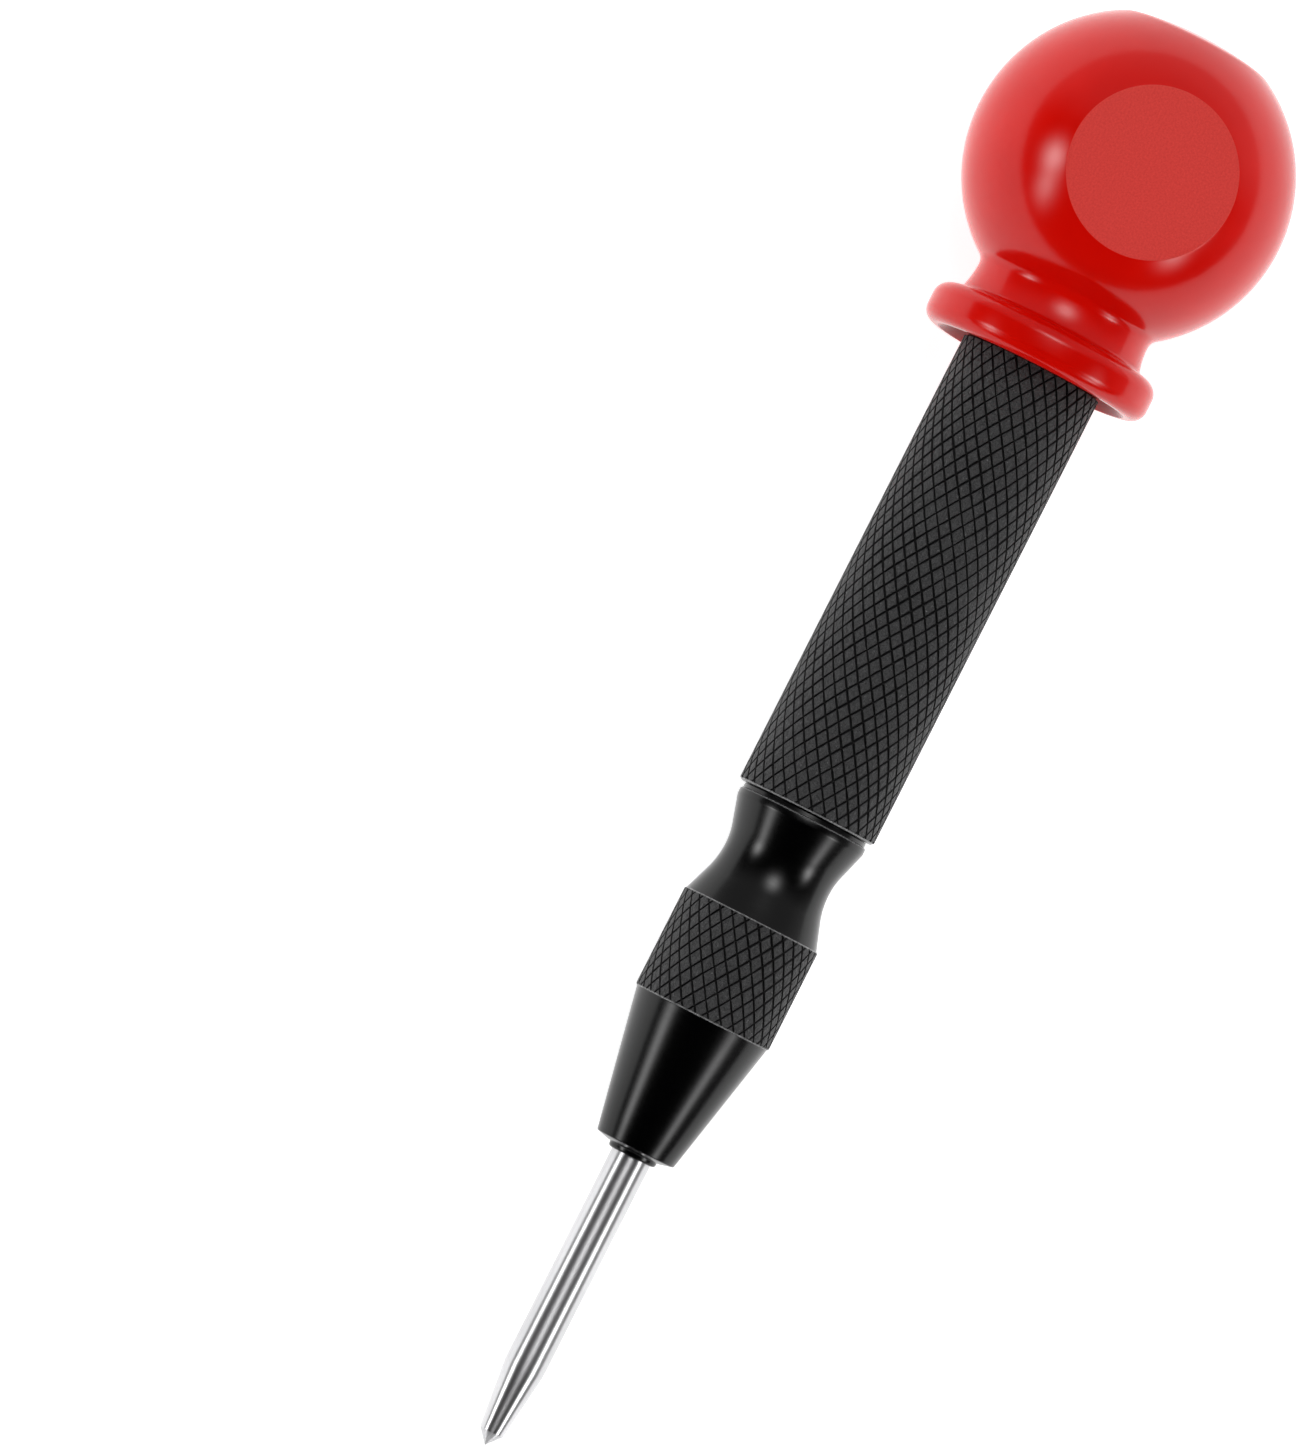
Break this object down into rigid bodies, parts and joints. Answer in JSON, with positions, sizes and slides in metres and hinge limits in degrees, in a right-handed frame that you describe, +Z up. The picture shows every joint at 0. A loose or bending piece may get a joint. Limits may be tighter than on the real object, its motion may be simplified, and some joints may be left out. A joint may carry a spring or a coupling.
{
  "type": "center punch",
  "caption": "Automatic centre punch with a red ball knob: press the knob and a spring-driven hammer strikes the headed steel point. Knurled black barrel and nose, screw-on knob sets the blow.",
  "frame": {"origin": "middle of the bottom of the whole tool's box, on the surface that it lies on", "axes": "+X along the tool towards the knob, +Z up from the surface, +Y across; the tool's own axis lies in the XZ plane and climbs 4.63 degrees towards the knob, because it rests on the nose's knurled band and on one side flat of the knob"},
  "size_m": [0.1472, 0.0312, 0.028],
  "materials": {
    "barrel_steel": "black-oxide steel, diamond knurled, edges rubbed bright",
    "nose_steel": "black-oxide steel, satin turned, diamond knurled band",
    "point_steel": "bright ground hardened steel",
    "pin_steel": "turned steel",
    "light_spring": "drawn spring wire",
    "hammer_steel": "turned and hardened steel",
    "spring_steel": "oil-tempered spring wire",
    "washer_steel": "pressed steel",
    "cap_brass": "turned brass",
    "knob_plastic": "glossy moulded red plastic"
  },
  "bodies": {
    "barrel": {"barrel": "barrel_steel", "main_spring": "spring_steel"},
    "tower": {"tower_spring": "light_spring"},
    "nose": {"nose_cap": "nose_steel"},
    "point": {"punch_point": "point_steel"},
    "pin": {"release_pin": "pin_steel"},
    "hammer": {"hammer": "hammer_steel"},
    "spring_seat": {"spring_washer": "washer_steel"},
    "knob": {"tail_cap": "cap_brass", "knob": "knob_plastic"}
  },
  "joints": [
    {"name": "nose_feed", "type": "slide", "parent": "barrel", "child": "tower", "axis": [-0.9967, 0, -0.0807], "range_m": [0, 0.009]},
    {"name": "nose_turn", "type": "hinge", "parent": "tower", "child": "nose", "pos_m": [-0.01384, 0, 0.00813], "axis": [-0.9967, 0, -0.0807], "range_deg": [0, 3240]},
    {"name": "point_stroke", "type": "slide", "parent": "nose", "child": "point", "axis": [0.9967, 0, 0.0807], "range_m": [0, 0.012], "stiffness_N_per_m": 1200, "springref_m": -0.005, "deforming": ["tower_spring"]},
    {"name": "pin_lean", "type": "hinge", "parent": "point", "child": "pin", "pos_m": [-0.02101, 0, 0.00755], "axis": [0, 1, 0], "range_deg": [-1.5, 0]},
    {"name": "hammer_lift", "type": "slide", "parent": "barrel", "child": "hammer", "axis": [0.9967, 0, 0.0807], "range_m": [0, 0.012], "deforming": ["main_spring"]},
    {"name": "knob_feed", "type": "slide", "parent": "barrel", "child": "spring_seat", "axis": [0.9967, 0, 0.0807], "range_m": [-0.003, 0.006]},
    {"name": "knob_turn", "type": "hinge", "parent": "spring_seat", "child": "knob", "pos_m": [0.05593, 0, 0.01379], "axis": [0.9967, 0, 0.0807], "range_deg": [-1080, 2160]}
  ],
  "couplings": [
    {"joint": "nose_feed", "follows": "nose_turn", "m_per_rad": 0.00015915},
    {"joint": "pin_lean", "follows": "point_stroke", "rad_per_m": -2.1817},
    {"joint": "hammer_lift", "follows": "point_stroke", "ratio": 1},
    {"joint": "knob_feed", "follows": "knob_turn", "m_per_rad": 0.00015915}
  ]
}
